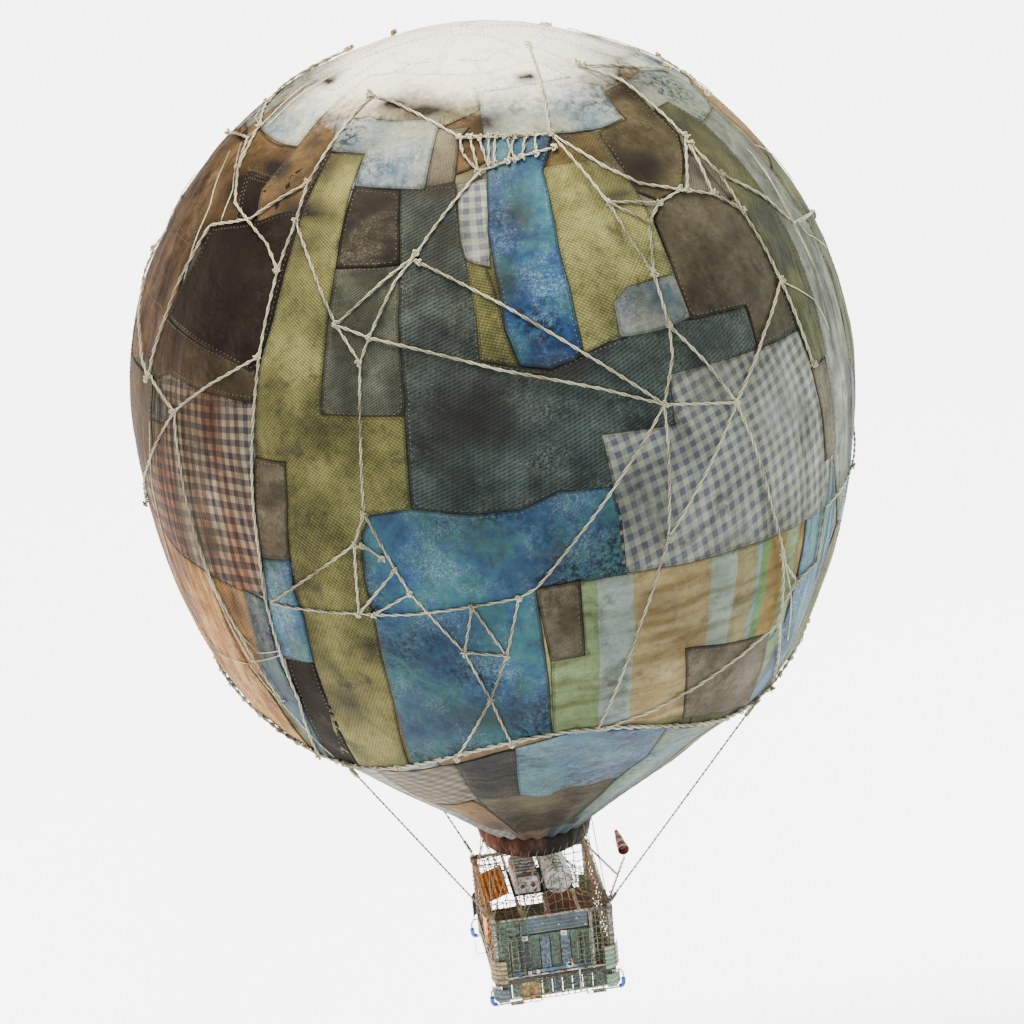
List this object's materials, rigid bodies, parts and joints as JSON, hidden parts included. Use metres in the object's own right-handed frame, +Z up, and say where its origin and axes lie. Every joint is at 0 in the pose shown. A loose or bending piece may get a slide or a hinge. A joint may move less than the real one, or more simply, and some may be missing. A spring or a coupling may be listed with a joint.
{
  "type": "hot air balloon",
  "caption": "Hot air balloon: patchwork envelope with open mouth, load ring, stays, and a rope-netted gondola with burner gear, drop gate and windsock.",
  "frame": {"origin": "centre of the envelope's widest circle, where the air holds the balloon", "axes": "+Z up, the gondola's front with its gate towards -Y, +X to the right seen from the front"},
  "size_m": [11.2, 11.2, 15.83],
  "materials": {
    "patchwork": "patched sackcloth, checked and striped cloth, sewn",
    "hemp": "laid hemp rope, weathered",
    "dark_hide": "dark hide, creased",
    "rusty_steel": "rusted, flaking paint",
    "old_wood": "weathered bare wood",
    "white_paint": "chipped white paint",
    "green_paint": "worn green paint over rust",
    "blue_paint": "worn pale blue paint over rust",
    "orange_paint": "worn orange paint with lichen",
    "striped_paint": "blue and mustard stripes, scratched",
    "cream_paint": "cream and ochre paint, worn",
    "mint_paint": "mint green paint, worn",
    "red_boards": "rust red boards",
    "sock_cloth": "red and white cloth"
  },
  "bodies": {
    "body": {"envelope": "patchwork", "mouth_cone": "patchwork", "load_ring": "hemp", "skirt": "dark_hide", "mouth_hoop": "dark_hide", "post_front_left": "white_paint", "post_front_right": "white_paint", "post_back_right": "white_paint", "post_back_left": "white_paint", "rail_front": "white_paint", "rail_back": "white_paint", "rail_right": "white_paint", "rail_left": "old_wood", "gate_post": "white_paint", "stay_front_left": "hemp", "stay_front_right": "hemp", "stay_back_right": "hemp", "stay_back_left": "hemp", "mouth_stay_front_left": "hemp", "mouth_stay_front_right": "hemp", "mouth_stay_back_right": "hemp", "mouth_stay_back_left": "hemp", "floor": "old_wood", "skid_frame": "blue_paint", "apron_slats": "green_paint", "apron_plate": "orange_paint", "hinge_rod": "white_paint", "gate_lever": "white_paint", "striped_panel": "striped_paint", "green_panel": "green_paint", "front_board": "blue_paint", "net_left": "hemp", "net_right": "hemp", "net_back": "hemp", "net_front": "hemp", "fender_front_left_upper": "cream_paint", "fender_front_left_lower": "blue_paint", "fender_front_right_upper": "mint_paint", "fender_front_right_lower": "mint_paint", "fender_back_left": "blue_paint", "fender_back_right": "mint_paint", "pipe_left": "white_paint", "pipe_right": "white_paint", "burner_tray": "rusty_steel", "heater": "white_paint", "gas_cylinder": "white_paint", "orange_lid": "orange_paint", "side_panel": "orange_paint", "crate": "red_boards", "windsock_pole": "white_paint", "windsock_brace": "white_paint"},
    "gate": {"gate_slats": "green_paint", "gate_top_rail": "rusty_steel", "gate_bottom_rail": "blue_paint", "gate_latch": "white_paint"},
    "windsock": {"windsock_hoop": "white_paint", "windsock": "sock_cloth"}
  },
  "joints": [
    {"name": "gate_hinge", "type": "hinge", "parent": "body", "child": "gate", "pos_m": [0, -1.2463, -9.73], "axis": [1, 0, 0], "range_deg": [0, 90]},
    {"name": "windsock_swivel", "type": "hinge", "parent": "body", "child": "windsock", "pos_m": [1.285, -1.1, -7.91], "axis": [0, 0, 1], "range_deg": [-135, 175]}
  ]
}
